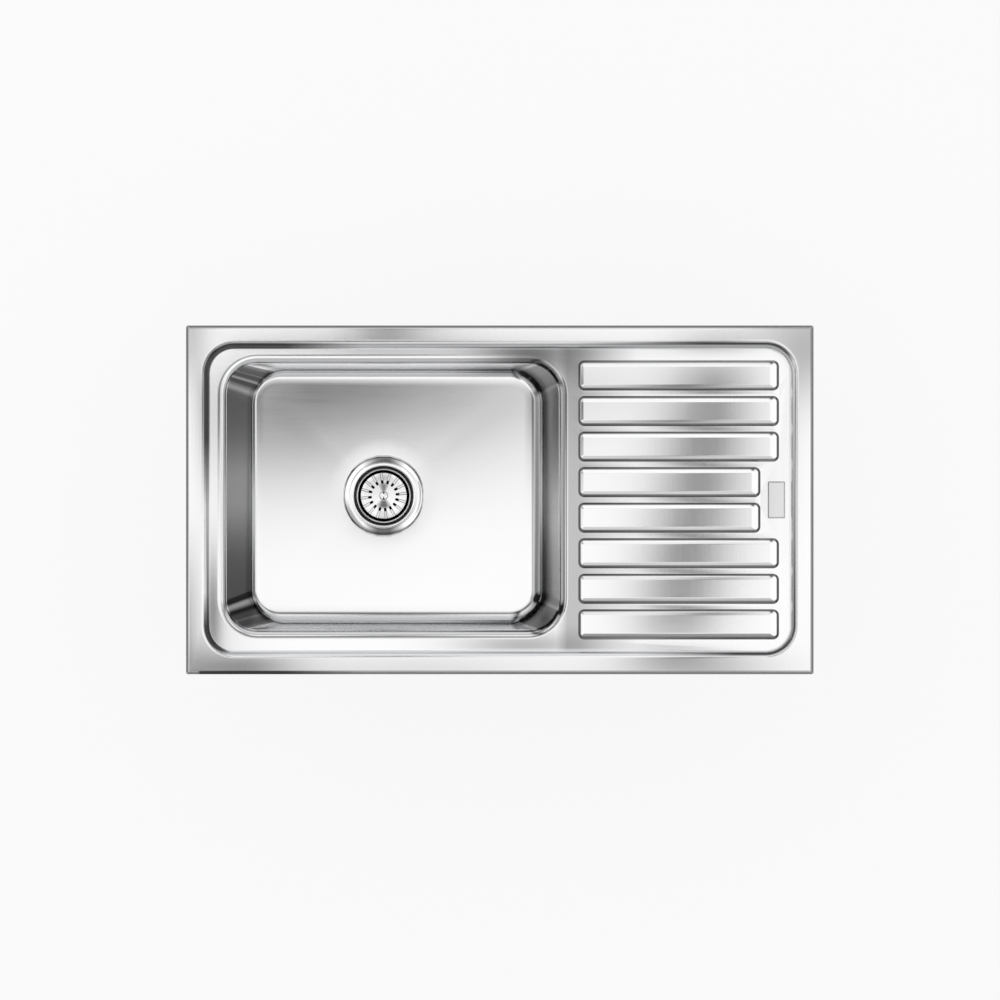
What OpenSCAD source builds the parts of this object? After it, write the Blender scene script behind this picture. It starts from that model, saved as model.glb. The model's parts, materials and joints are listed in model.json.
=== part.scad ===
// Drop-in stainless kitchen sink: one bowl on the left, a pressed drainer on the right,
// a basket waste, and clips that hold the rim down on the worktop.
// Millimetres, +X right, +Y to the back, +Z up. The origin is the middle of the
// worktop's cut-out, in the plane of the worktop's top face.

/* [Rim] */
// Overall length of the rim, left to right
sink_l = 914; // [860:1:1000]
// Overall width of the rim, front to back
sink_w = 508; // [490:1:560]
// Radius of the rim's outer corners
corner_r = 3; // [2:0.5:8]
// Height of the deck's top face above the worktop
rim_h = 4.5; // [3.5:0.1:7]
// Thickness of the pressed steel sheet
sheet_t = 1; // [0.7:0.1:1.5]
// Width of the turned-down edge, seen from above
edge_w = 3.5; // [2.5:0.1:6]
// Flat deck from the outer edge to the step
deck_margin = 23; // [20:0.5:26]
// Width of the step from the deck down to the pan
step_w = 12; // [8:0.5:14]
// Height of the step
step_h = 7; // [4:0.5:10]
// Corner radius at the top of the step
step_r = 47; // [40:1:60]
// Width of the seal strip under the deck
seal_w = 8; // [5:0.5:10]

/* [Bowl] */
// Length of the bowl's mouth
bowl_l = 508; // [440:1:520]
// Width of the bowl's mouth
bowl_w = 412; // [360:1:413]
// Depth of the floor at the waste, below the deck
bowl_depth = 203; // [160:1:230]
// Flat ledge between the step and the bowl's mouth, on the left
bowl_ledge = 12; // [11.5:0.5:16]
// How far the bowl sits behind the sink's middle
bowl_back = 4.5; // [0:0.5:5]
// Corner radius of the mouth
mouth_r = 57; // [50:1:80]
// Radius of the lip from the pan into the bowl
lip_r = 10; // [6:0.5:14]
// How far the end walls lean in from top to bottom
end_draft = 30.5; // [10:0.5:40]
// How far the bottom sits to the right of the mouth
floor_dx = 6; // [-8:0.5:8]
// How far the front and back walls lean in from top to bottom
side_draft = 10.5; // [5:0.5:25]
// Corner radius of the walls at the bottom
wall_r = 50; // [40:1:80]
// Radius between the walls and the floor
floor_fillet = 19.5; // [12:0.5:28]
// Fall of the floor towards the waste
floor_fall = 2; // [0.5:0.5:4]

/* [Drainer] */
// Length of a full raised pad
pad_l = 293; // [220:1:300]
// Width of a pad
pad_w = 44.5; // [36:0.5:46]
// Spacing of the pads
pad_pitch = 51.8; // [50:0.1:54]
// How much shorter the two middle pads are
pad_cut = 27; // [20:1:60]
// Flat pan from the step to the right end of the pads
pad_gap = 15; // [13:0.5:18]
// Corner radius of a pad
pad_r = 9; // [6:0.5:14]
// Height of a pad above the pan
pad_h = 4.2; // [2.5:0.1:6]
// Width of a pad's steep side
pad_side = 3.3; // [2:0.1:5]
// Height of a pad's steep side
pad_side_h = 3; // [1.5:0.1:4]
// Width of the soft bevel along a pad
pad_bevel = 5; // [3:0.5:7]
// Width of the soft bevel at a pad's right end
pad_end_bevel = 9; // [4:0.5:12]

/* [Blank plate] */
// Width of the plate, left to right
plate_l = 25; // [15:0.5:26]
// Length of the plate, front to back
plate_w = 53.5; // [30:0.5:60]
// Thickness of the plate's middle
plate_t = 0.6; // [0.4:0.1:1.5]
// Height of the plate's border above its middle
border_h = 0.5; // [0.2:0.1:1]
// Width of the plate's border
border_w = 1.6; // [1:0.1:3]
// Distance from the step to the plate
plate_gap = 6.5; // [4:0.5:10]

/* [Waste] */
// Distance of the waste from the bowl's middle, to the right
waste_dx = -14; // [-60:1:60]
// Distance of the waste from the bowl's middle, to the back
waste_dy = 1.5; // [-30:0.5:30]
// Radius of the waste flange
flange_r = 57.15; // [56:0.05:62]
// Thickness of the waste flange
flange_t = 1.6; // [1.2:0.1:3]
// Depth of the dished seat around the waste hole
recess_depth = 2.5; // [1.5:0.1:4]
// Clear space around the flange in its seat
recess_gap = 2; // [1:0.1:4]
// Inner radius of the waste's throat
throat_r = 42.4; // [40:0.1:44]
// Wall of the waste body
waste_wall = 1.6; // [1.2:0.1:2.5]
// Depth of the ledge that carries the basket
ledge_depth = 9; // [6:0.5:14]
// Width of that ledge
ledge_w = 2; // [1.5:0.1:3]
// Depth of the waste body down to its outlet seat
body_depth = 50; // [46:1:70]
// Inner radius of the outlet
outlet_r = 17.8; // [15:0.1:18]
// Length of the threaded outlet
outlet_l = 21; // [16:1:30]
// Length of the tailpiece below its flared end
tail_l = 90; // [60:1:150]
// Outer radius of the tailpiece
tail_r = 19.05; // [18.5:0.05:19.5]
// Wall of the tailpiece
tail_wall = 1.2; // [0.8:0.1:2]

/* [Basket] */
// Depth of the basket's dish below its rim
dish_depth = 14; // [10:1:18]
// Radius of the dish
dish_r = 34; // [31:0.1:35]
// Steel of the basket
basket_t = 0.8; // [0.6:0.1:1.2]
// Radius of the knob
knob_r = 6.35; // [5:0.05:9]
// Height of the knob
knob_h = 9; // [8:0.5:12]
// Radius of the stem
stem_r = 2.5; // [2:0.1:3.5]
// Travel of the stem from closed to open
stem_travel = 8; // [5:0.5:10]
// Radius of the rubber stopper
stopper_r = 23; // [21:0.5:25]
// Thickness of the rubber stopper
stopper_t = 5; // [3:0.5:6]

/* [Clips] */
// Thickness of the worktop that the clips are set for
worktop_t = 38; // [34:1:50]
// Distance from a rail's end to its last clip
clip_end = 82; // [30:1:150]
// Width of a clip rail
rail_w = 11; // [10.5:0.1:11.5]
// Height of a clip rail
rail_h = 8; // [7:0.5:10]
// Steel of a clip rail
rail_t = 1.2; // [1:0.1:1.3]
// Radius of a clip bolt
bolt_r = 2.5; // [2:0.1:2.7]
// Reach of a claw from its bolt to its toe
claw_reach = 35; // [33:0.5:36]
// Width of a claw
claw_w = 12; // [10:0.5:14]
// Thickness of a claw
claw_t = 2.5; // [2:0.1:3.5]
// Height of a claw's toe
toe_h = 6; // [4:0.5:9]
// Height of a clip nut
nut_h = 5; // [4:0.5:7]
// Travel of a clip up its bolt
clip_travel = 14; // [8:1:16]

/* [Sound pads] */
// Thickness of the sound pads
damp_t = 2.5; // [1.5:0.5:5]
// Glue between a sound pad and the steel
glue_gap = 0.1; // [0.05:0.05:0.3]
// Height of the pads on the bowl's walls
damp_h = 110; // [60:5:120]
// Length of the pads on the front and back walls
damp_l = 330; // [200:5:380]
// Length of the pads on the end walls
damp_w = 240; // [150:5:280]

/* [Hidden] */
$fn = 96;
CLIPS = 8;
PAD_ROWS = 8;
DISH_HOLES = 16;

// How finely the pressed shells follow their round parts
corner_steps = 8;
side_steps = 6;
arc_steps = 5;
step_steps = 6;

// Levels of the steel
deck_top = rim_h;
deck_under = deck_top - sheet_t;
pan_top = deck_top - step_h;
pan_under = pan_top - sheet_t;
edge_foot = 0.3;
floor_z = deck_top - bowl_depth;
wall_top_z = pan_top - lip_r;
wall_foot_z = floor_z + floor_fall + floor_fillet;

// Half sizes and places of the pan, the bowl and the drainer
half_l = sink_l / 2;
half_w = sink_w / 2;
pan_inset = deck_margin + step_w;
pan_x = half_l - pan_inset;
pan_y = half_w - pan_inset;
mouth_x = bowl_l / 2;
mouth_y = bowl_w / 2;
bowl_x = -pan_x + bowl_ledge + mouth_x;
bowl_y = bowl_back;
pads_right = pan_x - pad_gap;
plate_x = pan_x - plate_gap - plate_l / 2;

// Places of the waste's parts
waste_x = bowl_x + waste_dx;
waste_y = bowl_y + waste_dy;
gasket_t = 0.8;
seat_top = floor_z - recess_depth;
seat_under = seat_top - sheet_t;
recess_r = flange_r + recess_gap;
thread_r = throat_r + 1.2;
waste_hole_r = thread_r + 1.2;
thread_gap = 0.1;
flange_z = seat_top + gasket_t;
ledge_z = flange_z - ledge_depth;
cup_r = throat_r - 3;
tube_r = cup_r - ledge_w;
body_gasket_t = 3;
friction_t = 1;
locknut_h = 9;
locknut_top = seat_under - body_gasket_t - friction_t;
thread_foot = locknut_top - locknut_h - 3;
outlet_seat_z = flange_z - body_depth;
seat_slope = 6;
seat_r = stopper_r + 4;
spud_r = 23.9;
spud_foot = outlet_seat_z - outlet_l;
tail_washer_t = 2;
flare_t = 1.5;
flare_r = spud_r - 1.4;
tail_top = spud_foot - tail_washer_t;
tail_foot = tail_top - flare_t - tail_l;
coupling_r = 31;
coupling_grip = 14;
coupling_lip = 3;
neck_r = tail_r + 0.6;
neck_l = coupling_lip + 1;
slip = 0.3;

// Places of the basket's parts
basket_r = tube_r - slip;
rim_r = cup_r - 0.5;
rim_t = 1.6;
dish_z = ledge_z - dish_depth;
dish_rise = 1.2;
dish_under = dish_z - basket_t;
hole_r = 1.9;
hole_from = 19.2;
hole_to = 21.2;
hole_turn = 6.2;
shank_r = stem_r + 2;
shank_top = dish_under - stem_travel;
stopper_top = outlet_seat_z + stopper_t;
knob_top = dish_z + dish_rise + knob_h + 3;
knob_socket = 6;
push_gap = 0.05;
stop_washer_r = 14;
stop_washer_t = 1;
stem_nut_h = 4;
stem_foot = outlet_seat_z - stop_washer_t - stem_nut_h - 1;

// Places of the clips, each as x, y and the way that its claw points
rail_foot = pan_under - rail_h;
rail_slot = 2 * bolt_r + 1.4;
rail_corner = step_r - step_w + 5;
rail_out = 3;
rail_x = pan_x + rail_out - rail_w / 2;
rail_y = pan_y + rail_out - rail_w / 2;
clip_step = pan_x - rail_corner - clip_end;
clip_at = concat(
    [for (x = [-clip_step, 0, clip_step]) [x, -rail_y, -90]],
    [for (x = [-clip_step, 0, clip_step]) [x, rail_y, 90]],
    [[-rail_x, 0, 180], [rail_x, 0, 0]]);

// Levels and sizes of a clip
head_w = rail_w - 2 * rail_t - 0.8;
head_t = 2.4;
claw_top = -worktop_t - toe_h;
claw_under = claw_top - claw_t;
claw_gap = 0.4;
claw_heel = 7;
bolt_foot = claw_under - nut_h - 9;
nut_r = 4.7;
nut_flange_r = 5.8;
nut_flange_t = 1.2;

// Points of a rounded rectangle, anticlockwise, at height z, with extra points on its straight sides
function ring(hx, hy, r, z, at = [0, 0], extra = 0) =
    let (corners = [for (q = [0:3]) [for (k = [0:corner_steps])
        let (a = 90 * (q + k / corner_steps),
             sx = (q == 0 || q == 3) ? 1 : -1,
             sy = q < 2 ? 1 : -1)
            [at[0] + sx * (hx - r) + r * cos(a), at[1] + sy * (hy - r) + r * sin(a), z]]])
    [for (q = [0:3])
        let (last = corners[q][corner_steps], next = corners[(q + 1) % 4][0])
            each concat(corners[q], [for (k = [1:1:extra]) last + (next - last) * k / (extra + 1)])];

// The same number of points, thrown out from a centre onto a circle
function on_circle(points, at, r, z) = [
    for (p = points)
        let (a = atan2(p[1] - at[1], p[0] - at[0]))
            [at[0] + r * cos(a), at[1] + r * sin(a), z]];

function flat(points) = [for (p = points) [p[0], p[1]]];
function backwards(list) = [for (i = [len(list) - 1:-1:0]) list[i]];
function between(a, b, share) = [for (i = [0:len(a) - 1]) a[i] + (b[i] - a[i]) * share];
function lowered(points, drop) = [for (p = points) p - [0, 0, drop]];

// A profile of inset and height, moved by t to its lower side
function under_side(profile, t) = [
    for (i = [0:len(profile) - 1])
        let (before = profile[max(i - 1, 0)],
             after = profile[min(i + 1, len(profile) - 1)],
             way = (after - before) / norm(after - before))
            profile[i] + t * [way[1], -way[0]]];

// A closed shell through rings that have equal numbers of points. The rings form a loop,
// or start with a flat cap below and end with a flat cap above.
module shell(rings, loop = true) {
    n = len(rings[0]);
    m = len(rings);
    sides = [for (i = [0:(loop ? m : m - 1) - 1], j = [0:n - 1])
        let (a = i * n + j,
             b = i * n + (j + 1) % n,
             c = ((i + 1) % m) * n + (j + 1) % n,
             d = ((i + 1) % m) * n + j)
            each [[a, c, b], [a, d, c]]];
    caps = [[for (j = [0:n - 1]) j], [for (j = [n - 1:-1:0]) (m - 1) * n + j]];
    polyhedron(points = [for (points = rings) each points], faces = loop ? sides : concat(sides, caps), convexity = 8);
}

// The rim in section, from its foot over the deck and down the step to the pan
rim_profile = concat(
    [[0, edge_foot],
     [edge_w - 1, deck_top - 1.1],
     [edge_w - 0.3, deck_top - 0.35],
     [edge_w + 0.7, deck_top],
     [deck_margin - 1, deck_top]],
    [for (k = [0:step_steps])
        [deck_margin + step_w * k / step_steps, pan_top + step_h * (1 + cos(180 * k / step_steps)) / 2]],
    [[pan_inset + 1, pan_top]]);

function rim_corner(inset) = inset < deck_margin - 2 ? max(corner_r - inset, 0.4) : step_r + deck_margin - inset;
function rim_ring(p) = ring(half_l - p[0], half_w - p[0], rim_corner(p[0]), p[1]);
function rim_outline(inset, r) = flat(ring(half_l - inset, half_w - inset, r, 0));

// Points of the bowl's outline at one level, drawn in along and across, and moved to the right
function bowl_ring(dx, dy, r, z, right = 0) =
    ring(mouth_x - dx, mouth_y - dy, r, z, [bowl_x + right, bowl_y], side_steps);

// The bowl's wall from its mouth to its floor, with the radii of one face of the sheet
function bowl_wall(lip, fillet) = concat(
    [for (k = [0:arc_steps])
        let (a = 90 * k / arc_steps, d = lip * sin(a))
            bowl_ring(d, d, mouth_r - d, wall_top_z + lip * cos(a))],
    [for (k = [0:arc_steps])
        let (a = 90 * k / arc_steps, d = floor_fillet - fillet * cos(a))
            bowl_ring(
                lip_r + end_draft + d, lip_r + side_draft + d, wall_r - d, wall_foot_z - fillet * sin(a), floor_dx)]);

function floor_edge(drop) = bowl_wall(lip_r - drop, floor_fillet + drop)[2 * arc_steps + 1];
function waste_ring(r, z) = on_circle(floor_edge(0), [waste_x, waste_y], r, z);
function floor_foot(drop) = waste_ring(recess_r + 0.4 * drop, floor_z - drop);

// One face of the bowl's sheet, from its mouth into the seat of the waste
function bowl_face(drop) = concat(
    bowl_wall(lip_r - drop, floor_fillet + drop),
    [floor_foot(drop),
     waste_ring(recess_r - recess_depth + 0.4 * drop, seat_top - drop),
     waste_ring(waste_hole_r, seat_top - drop)]);

// Length and middle of the drainer's pads, of which the two middle ones make room for the plate
function row_l(row) = abs(row - (PAD_ROWS - 1) / 2) < 1 ? pad_l - pad_cut : pad_l;
function row_at(row) = [pads_right - pad_l + row_l(row) / 2, (row - (PAD_ROWS - 1) / 2) * pad_pitch, 0];

// A pad as a block that starts inside the pan's sheet, or with t as the hollow under its sheet
module pad_block(l, t) {
    foot = t - pad_side * (sheet_t / 2) / pad_side_h;
    levels = [
        [foot, foot, pan_top - sheet_t / 2 - 1.5 * t],
        [pad_side + 0.7 * t, pad_side + 0.7 * t, pan_top + pad_side_h - t],
        [pad_side + pad_bevel, pad_side + pad_end_bevel, pan_top + pad_h - t]];
    hull()
        for (s = levels)
            translate([(s[0] - s[1]) / 2, 0, s[2]])
                linear_extrude(height = 0.01)
                    polygon(flat(ring((l - s[0] - s[1]) / 2, pad_w / 2 - s[0], max(pad_r - 0.7 * s[0], 2), 0)));
}

module top_pressing() {
    color("gainsboro")
        difference() {
            union() {
                shell([for (p = concat(backwards(under_side(rim_profile, sheet_t)), rim_profile)) rim_ring(p)], false);
                for (row = [0:PAD_ROWS - 1])
                    translate(row_at(row))
                        pad_block(row_l(row), 0);
            }
            translate([0, 0, pan_under - 1])
                linear_extrude(height = sheet_t + 2)
                    polygon(flat(bowl_ring(0, 0, mouth_r, 0)));
            for (row = [0:PAD_ROWS - 1])
                translate(row_at(row))
                    pad_block(row_l(row), sheet_t);
        }
}

module bowl_pressing() {
    color("silver")
        shell(concat(bowl_face(0), backwards(bowl_face(sheet_t))));
}

module blank_plate() {
    color("lightgray")
        translate([plate_x, 0, pan_top])
            difference() {
                translate([-plate_l / 2, -plate_w / 2, 0])
                    cube([plate_l, plate_w, plate_t + border_h]);
                translate([border_w - plate_l / 2, border_w - plate_w / 2, plate_t])
                    cube([plate_l - 2 * border_w, plate_w - 2 * border_w, border_h + 1]);
            }
}

module rim_seal() {
    outer = edge_w + sheet_t + 0.3;
    color("black")
        linear_extrude(height = deck_under)
            difference() {
                polygon(rim_outline(outer, corner_r));
                polygon(rim_outline(outer + seal_w, corner_r));
            }
}

// A channel that opens down, with two lips that leave a slot, along the local Y
module clip_rail(length) {
    half = rail_w / 2;
    slot = rail_slot / 2;
    inner = half - rail_t;
    lip_top = rail_foot + rail_t;
    color("darkgray")
        rotate([90, 0, 0])
            linear_extrude(height = length, center = true)
                polygon([
                    [-slot, rail_foot], [-slot, lip_top], [-inner, lip_top], [-inner, pan_under - rail_t],
                    [inner, pan_under - rail_t], [inner, lip_top], [slot, lip_top], [slot, rail_foot],
                    [half, rail_foot], [half, pan_under], [-half, pan_under], [-half, rail_foot]]);
}

module clip_rail_front() {
    translate([0, -rail_y, 0]) rotate(90) clip_rail(2 * (pan_x - rail_corner));
}

module clip_rail_back() {
    translate([0, rail_y, 0]) rotate(90) clip_rail(2 * (pan_x - rail_corner));
}

module clip_rail_left() {
    translate([-rail_x, 0, 0]) clip_rail(2 * (pan_y - rail_corner));
}

module clip_rail_right() {
    translate([rail_x, 0, 0]) clip_rail(2 * (pan_y - rail_corner));
}

// Puts a clip's part at its place, with the local X pointing out under the worktop
module at_clip(i) {
    translate([clip_at[i][0], clip_at[i][1], 0])
        rotate(clip_at[i][2])
            children();
}

module clip_bolts() {
    lip_top = rail_foot + rail_t;
    color("silver")
        for (i = [0:CLIPS - 1])
            at_clip(i)
                union() {
                    translate([-head_w / 2, -head_w / 2, lip_top])
                        cube([head_w, head_w, head_t]);
                    translate([0, 0, bolt_foot])
                        cylinder(r = bolt_r, h = lip_top + head_t / 2 - bolt_foot);
                }
}

module clip_nut(i) {
    color("silver")
        at_clip(i)
            translate([0, 0, claw_under - nut_h])
                difference() {
                    union() {
                        cylinder(r = nut_r, h = nut_h, $fn = 6);
                        translate([0, 0, nut_h - nut_flange_t])
                            cylinder(r = nut_flange_r, h = nut_flange_t);
                    }
                    translate([0, 0, -1])
                        cylinder(r = bolt_r + thread_gap, h = nut_h + 2);
                }
}

module clip_claw(i) {
    toe_t = claw_t;
    teeth = 3;
    tooth = claw_w / teeth;
    color("lightsteelblue")
        at_clip(i)
            difference() {
                union() {
                    translate([-claw_heel, -claw_w / 2, claw_under])
                        cube([claw_heel + claw_reach, claw_w, claw_t]);
                    translate([claw_reach - toe_t, -claw_w / 2, claw_under])
                        cube([toe_t, claw_w, claw_t + toe_h]);
                    translate([nut_flange_r + 3, -claw_t / 2, claw_top - 0.1])
                        cube([claw_reach - nut_flange_r - 6, claw_t, 1.6]);
                }
                translate([0, 0, claw_under - 1])
                    cylinder(r = bolt_r + claw_gap, h = claw_t + 2);
                for (k = [1:teeth - 1])
                    translate([claw_reach - toe_t / 2, k * tooth - claw_w / 2, -worktop_t])
                        rotate([0, 90, 0])
                            cylinder(r = tooth / 3, h = toe_t + 2, center = true, $fn = 4);
            }
}

// A pad on the outside of a wall whose mouth is half away from the bowl's middle, facing local X
module wall_pad(half, draft, length) {
    fall = wall_top_z - wall_foot_z;
    color("dimgray")
        translate([half - lip_r - draft / 2 + sheet_t, 0, (wall_top_z + wall_foot_z) / 2])
            rotate([0, atan(draft / fall), 0])
                translate([glue_gap, -length / 2, -damp_h / 2])
                    cube([damp_t, length, damp_h]);
}

module sound_pad_front() {
    translate([bowl_x, bowl_y, 0]) rotate(-90) wall_pad(mouth_y, side_draft, damp_l);
}

module sound_pad_back() {
    translate([bowl_x, bowl_y, 0]) rotate(90) wall_pad(mouth_y, side_draft, damp_l);
}

module sound_pad_left() {
    translate([bowl_x, bowl_y, 0]) rotate(180) wall_pad(mouth_x, end_draft + floor_dx, damp_w);
}

module sound_pad_right() {
    translate([bowl_x, bowl_y, 0]) wall_pad(mouth_x, end_draft - floor_dx, damp_w);
}

// The floor's pad follows the fall of the floor's underside
module sound_pad_floor() {
    starts = 0.15;
    ends = 0.94;
    outer = between(floor_edge(sheet_t), floor_foot(sheet_t), starts);
    inner = between(floor_edge(sheet_t), floor_foot(sheet_t), ends);
    color("dimgray")
        shell([
            lowered(outer, glue_gap), lowered(inner, glue_gap),
            lowered(inner, glue_gap + damp_t), lowered(outer, glue_gap + damp_t)]);
}

module sound_pad_drainer() {
    border = 3;
    length = pad_l - 2 * border;
    width = (PAD_ROWS - 1) * pad_pitch + pad_w - 2 * border;
    color("dimgray")
        translate([pads_right - border - length, -width / 2, pan_under - glue_gap - damp_t])
            cube([length, width, damp_t]);
}

module at_waste(z) {
    translate([waste_x, waste_y, z]) children();
}

// A plain ring that hangs down from its own level
module washer(outer, inner, t) {
    translate([0, 0, -t])
        difference() {
            cylinder(r = outer, h = t);
            translate([0, 0, -1])
                cylinder(r = inner, h = t + 2);
        }
}

module flange_gasket() {
    color("dimgray")
        at_waste(flange_z)
            washer(flange_r - 1, thread_r + slip, gasket_t);
}

module waste_body() {
    flange_top = flange_z + flange_t;
    tube_outer = tube_r + waste_wall;
    seat_under_z = outlet_seat_z - waste_wall;
    color("silver")
        at_waste(0)
            rotate_extrude()
                polygon([
                    [flange_r, flange_z], [flange_r, flange_top - 0.6], [flange_r - 0.8, flange_top],
                    [throat_r + 3, flange_top - 0.5], [throat_r + 1, flange_z + 0.4], [throat_r, flange_z - 0.8],
                    [cup_r, ledge_z + 0.6], [cup_r, ledge_z], [tube_r, ledge_z], [tube_r, outlet_seat_z + seat_slope],
                    [seat_r, outlet_seat_z], [outlet_r, outlet_seat_z], [outlet_r, spud_foot],
                    [spud_r, spud_foot], [spud_r, seat_under_z], [seat_r, seat_under_z],
                    [tube_outer, outlet_seat_z + seat_slope - waste_wall], [tube_outer, thread_foot - 2],
                    [thread_r, thread_foot], [thread_r, flange_z]]);
}

module body_gasket() {
    color("black")
        at_waste(seat_under)
            washer(flange_r - 2, thread_r + slip, body_gasket_t);
}

module friction_ring() {
    color("tan")
        at_waste(seat_under - body_gasket_t)
            washer(flange_r - 3, thread_r + slip, friction_t);
}

module locknut() {
    lugs = 6;
    lug_w = 12;
    lug_l = 5;
    nut_outer = flange_r - 6;
    color("lightgray")
        at_waste(locknut_top)
            difference() {
                union() {
                    washer(nut_outer, thread_r, locknut_h);
                    for (k = [0:lugs - 1])
                        rotate(k * 360 / lugs)
                            translate([nut_outer - 1, -lug_w / 2, -locknut_h])
                                cube([lug_l, lug_w, locknut_h - 2]);
                }
                translate([0, 0, -locknut_h - 1])
                    cylinder(r = thread_r + thread_gap, h = locknut_h + 2);
            }
}

module tailpiece_washer() {
    color("white")
        at_waste(spud_foot)
            washer(flare_r, outlet_r + slip, tail_washer_t);
}

module tailpiece() {
    color("silver")
        at_waste(tail_top)
            difference() {
                union() {
                    washer(flare_r, tail_r - tail_wall, flare_t);
                    washer(neck_r, tail_r - tail_wall, flare_t + neck_l);
                    washer(tail_r, tail_r - tail_wall, flare_t + tail_l);
                }
                translate([0, 0, -flare_t - tail_l - 1])
                    cylinder(r = tail_r - tail_wall, h = flare_t + tail_l + 2);
            }
}

module coupling_nut() {
    grip_top = spud_foot + coupling_grip;
    lip_top = tail_top - flare_t;
    color("silver")
        at_waste(lip_top - coupling_lip)
            difference() {
                cylinder(r = coupling_r, h = grip_top - lip_top + coupling_lip, $fn = 6);
                translate([0, 0, coupling_lip])
                    cylinder(r = spud_r + thread_gap, h = grip_top - lip_top + 1);
                translate([0, 0, -1])
                    cylinder(r = neck_r + slip, h = coupling_lip + 2);
            }
}

module dish_hole() {
    linear_extrude(height = 10)
        union() {
            translate([hole_from, 0]) circle(r = hole_r);
            translate([hole_to, 0]) circle(r = hole_r);
            translate([hole_from, -hole_r]) square([hole_to - hole_from, 2 * hole_r]);
        }
}

module basket_cup() {
    rim_top = ledge_z + rim_t;
    inner = basket_r - basket_t;
    color("silver")
        at_waste(0)
            difference() {
                rotate_extrude()
                    polygon([
                        [rim_r, ledge_z], [rim_r, rim_top - 0.4], [rim_r - 0.4, rim_top], [inner, rim_top],
                        [inner, ledge_z - 2], [dish_r, dish_z + 0.6], [dish_r - 0.8, dish_z],
                        [stem_r + slip, dish_z + dish_rise], [stem_r + slip, dish_under + dish_rise],
                        [dish_r, dish_under], [dish_r + basket_t, dish_under + 0.6],
                        [basket_r, ledge_z - 2], [basket_r, ledge_z]]);
                for (k = [0:DISH_HOLES - 1])
                    rotate(hole_turn + k * 360 / DISH_HOLES)
                        translate([0, 0, dish_under - 4])
                            dish_hole();
            }
}

module basket_stem() {
    color("silver")
        at_waste(0)
            union() {
                translate([0, 0, stem_foot])
                    cylinder(r = stem_r, h = knob_top - knob_h + knob_socket - stem_foot);
                translate([0, 0, stopper_top])
                    cylinder(r = shank_r, h = shank_top - stopper_top);
            }
}

module basket_knob() {
    foot = knob_top - knob_h;
    neck = stem_r + 1.3;
    color("silver")
        at_waste(0)
            rotate_extrude()
                polygon([
                    [stem_r + push_gap, foot], [neck, foot], [neck, foot + 3.5], [knob_r - 0.8, foot + 5.5],
                    [knob_r, foot + 6.3], [knob_r, knob_top - 1.4], [knob_r - 1.2, knob_top - 0.3],
                    [knob_r - 2.4, knob_top], [0, knob_top], [0, foot + knob_socket + push_gap],
                    [stem_r + push_gap, foot + knob_socket + push_gap]]);
}

module rubber_stopper() {
    color("black")
        at_waste(stopper_top)
            washer(stopper_r, stem_r + push_gap, stopper_t);
}

module stopper_washer() {
    color("silver")
        at_waste(outlet_seat_z)
            washer(stop_washer_r, stem_r + push_gap, stop_washer_t);
}

module stem_nut() {
    color("gold")
        at_waste(outlet_seat_z - stop_washer_t - stem_nut_h)
            difference() {
                cylinder(r = nut_r, h = stem_nut_h, $fn = 6);
                translate([0, 0, -1])
                    cylinder(r = stem_r + push_gap, h = stem_nut_h + 2);
            }
}

top_pressing();
bowl_pressing();
blank_plate();
rim_seal();
clip_rail_front();
clip_rail_back();
clip_rail_left();
clip_rail_right();
clip_bolts();
sound_pad_front();
sound_pad_back();
sound_pad_left();
sound_pad_right();
sound_pad_floor();
sound_pad_drainer();
flange_gasket();
waste_body();
body_gasket();
friction_ring();
locknut();
tailpiece_washer();
tailpiece();
coupling_nut();
basket_cup();
basket_stem();
basket_knob();
rubber_stopper();
stopper_washer();
stem_nut();
for (i = [1:CLIPS]) {
    clip_nut(i - 1);
    clip_claw(i - 1);
}
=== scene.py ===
import json
import math

import bmesh
import bpy
from mathutils import Matrix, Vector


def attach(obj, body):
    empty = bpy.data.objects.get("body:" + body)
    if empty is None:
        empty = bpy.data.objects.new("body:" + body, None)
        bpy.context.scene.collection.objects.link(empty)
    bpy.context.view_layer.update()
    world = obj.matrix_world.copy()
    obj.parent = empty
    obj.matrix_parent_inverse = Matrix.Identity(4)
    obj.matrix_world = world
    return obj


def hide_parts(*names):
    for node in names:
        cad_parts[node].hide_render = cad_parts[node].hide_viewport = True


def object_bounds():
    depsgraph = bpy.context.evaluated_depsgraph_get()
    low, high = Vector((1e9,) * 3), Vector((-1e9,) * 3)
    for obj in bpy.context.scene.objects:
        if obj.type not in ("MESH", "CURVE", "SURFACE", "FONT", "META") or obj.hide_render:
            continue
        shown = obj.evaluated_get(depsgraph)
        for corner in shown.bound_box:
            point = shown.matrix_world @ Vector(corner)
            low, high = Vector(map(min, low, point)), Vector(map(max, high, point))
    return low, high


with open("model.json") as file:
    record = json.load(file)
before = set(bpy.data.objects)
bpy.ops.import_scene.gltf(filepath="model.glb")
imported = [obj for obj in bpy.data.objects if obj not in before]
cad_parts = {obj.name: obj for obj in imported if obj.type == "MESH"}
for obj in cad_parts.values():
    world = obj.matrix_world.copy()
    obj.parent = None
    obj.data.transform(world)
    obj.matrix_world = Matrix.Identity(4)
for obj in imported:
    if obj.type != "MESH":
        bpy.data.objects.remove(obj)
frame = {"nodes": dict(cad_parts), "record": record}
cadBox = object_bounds()
print("frame loaded")

# Camera, straight above the middle of the deck, with a long lens
cameraSetup = {"lens": 1000, "seen": 1.4565, "middle": (0.0003, -0.0002), "deckTop": 0.0045}

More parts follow.
